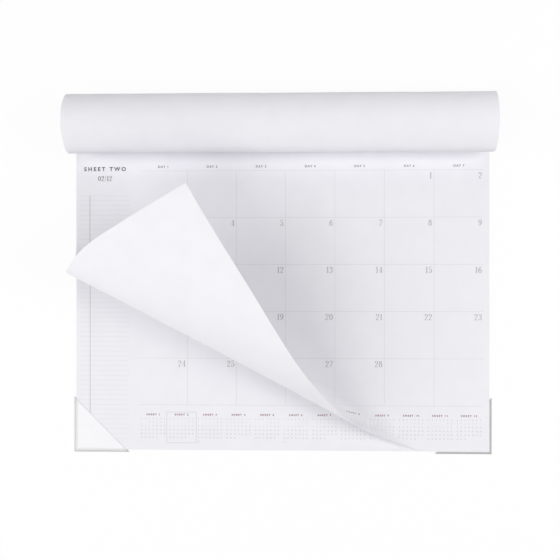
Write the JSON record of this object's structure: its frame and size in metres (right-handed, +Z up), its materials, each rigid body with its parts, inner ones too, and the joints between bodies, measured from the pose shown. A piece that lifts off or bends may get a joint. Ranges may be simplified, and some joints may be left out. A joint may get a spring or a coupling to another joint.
{
  "type": "desk pad calendar",
  "caption": "Desk pad calendar of month sheets taped to a stiff board, shown with a sheet rolled over the top edge, a page corner lifted and film pockets at the lower corners.",
  "frame": {"origin": "middle of the part's footprint, on the desk that it lies on", "axes": "+X along the long side of the page, to the reader's right; +Y from the reader towards the bound top edge; +Z up from the desk"},
  "size_m": [0.5598, 0.474, 0.121],
  "materials": {
    "page_paper": "uncoated white paper",
    "chipboard": "grey-brown chipboard",
    "pocket_film": "frosted clear film",
    "binding_tape": "plain paper tape"
  },
  "bodies": {
    "root": {"backing_board": "chipboard", "page_block": "page_paper", "lifted_sheet": "page_paper", "turned_sheet": "page_paper", "left_corner_pocket": "pocket_film", "right_corner_pocket": "pocket_film", "binding_tape": "binding_tape"}
  },
  "joints": []
}
